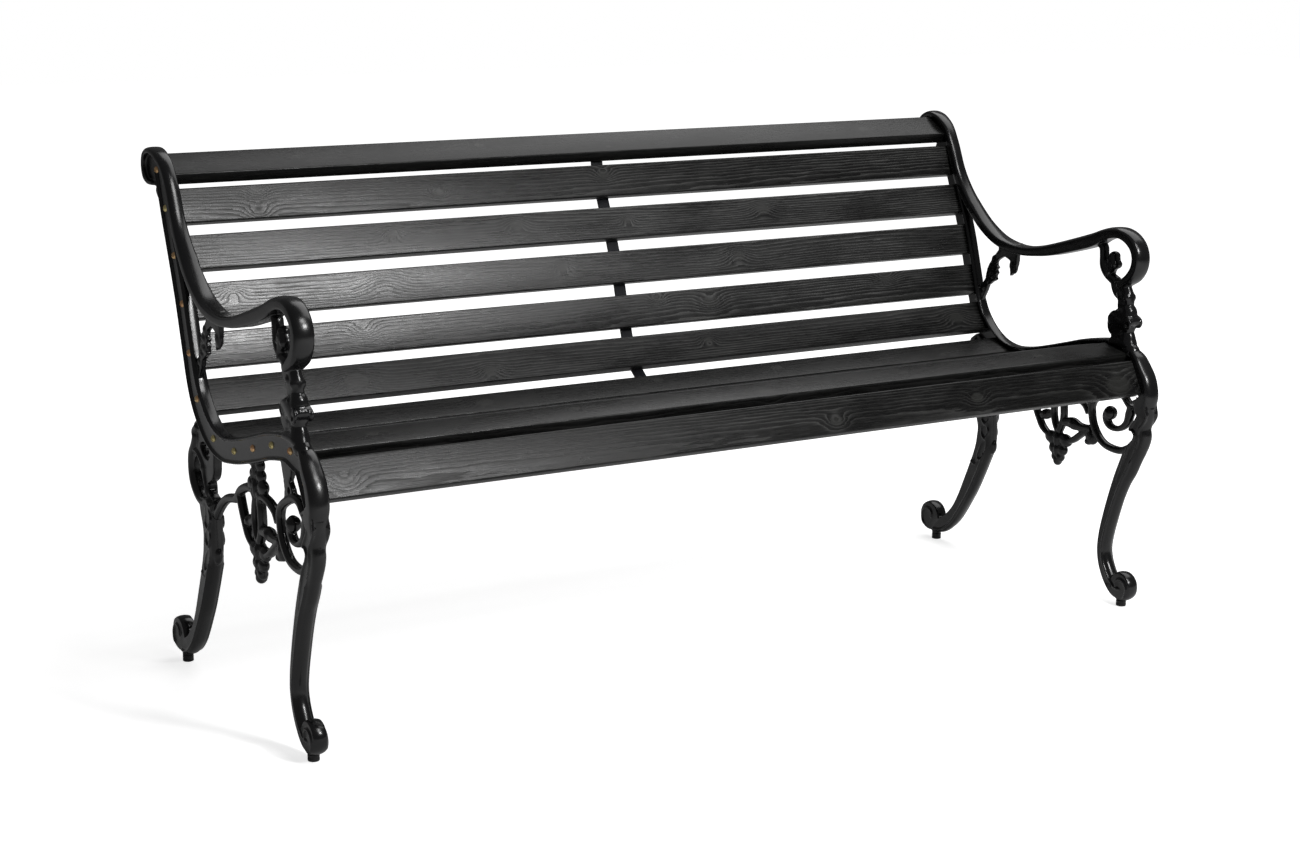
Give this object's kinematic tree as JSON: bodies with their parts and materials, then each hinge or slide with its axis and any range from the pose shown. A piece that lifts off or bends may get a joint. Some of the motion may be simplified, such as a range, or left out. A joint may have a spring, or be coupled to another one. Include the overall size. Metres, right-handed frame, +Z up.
{
  "type": "garden bench",
  "caption": "Garden bench with cast scrollwork end frames, rolled arms, cabriole legs and stained wooden slats for the seat and curved back.",
  "frame": {"origin": "ground plane at the middle of the bench's length and depth", "axes": "+X along the bench to the sitter's left, +Y to the rear, +Z up"},
  "size_m": [1.5129, 0.6462, 0.7988],
  "materials": {
    "casting": "semi-gloss black paint over a casting",
    "slat_wood": "black stained softwood with a satin sheen",
    "screw": "yellow plated, slightly dulled",
    "glide": "matte black"
  },
  "bodies": {
    "root": {"left_end_frame": "casting", "right_end_frame": "casting", "top_rail_slat": "slat_wood", "back_slat_1": "slat_wood", "back_slat_2": "slat_wood", "back_slat_3": "slat_wood", "back_slat_4": "slat_wood", "back_slat_5": "slat_wood", "seat_slat_1": "slat_wood", "seat_slat_2": "slat_wood", "seat_slat_3": "slat_wood", "seat_slat_4": "slat_wood", "seat_slat_5": "slat_wood", "front_apron_slat": "slat_wood", "centre_strap": "casting", "left_frame_screws": "screw", "right_frame_screws": "screw", "strap_screws": "screw", "left_front_glide": "glide", "left_rear_glide": "glide", "right_front_glide": "glide", "right_rear_glide": "glide"}
  },
  "joints": []
}
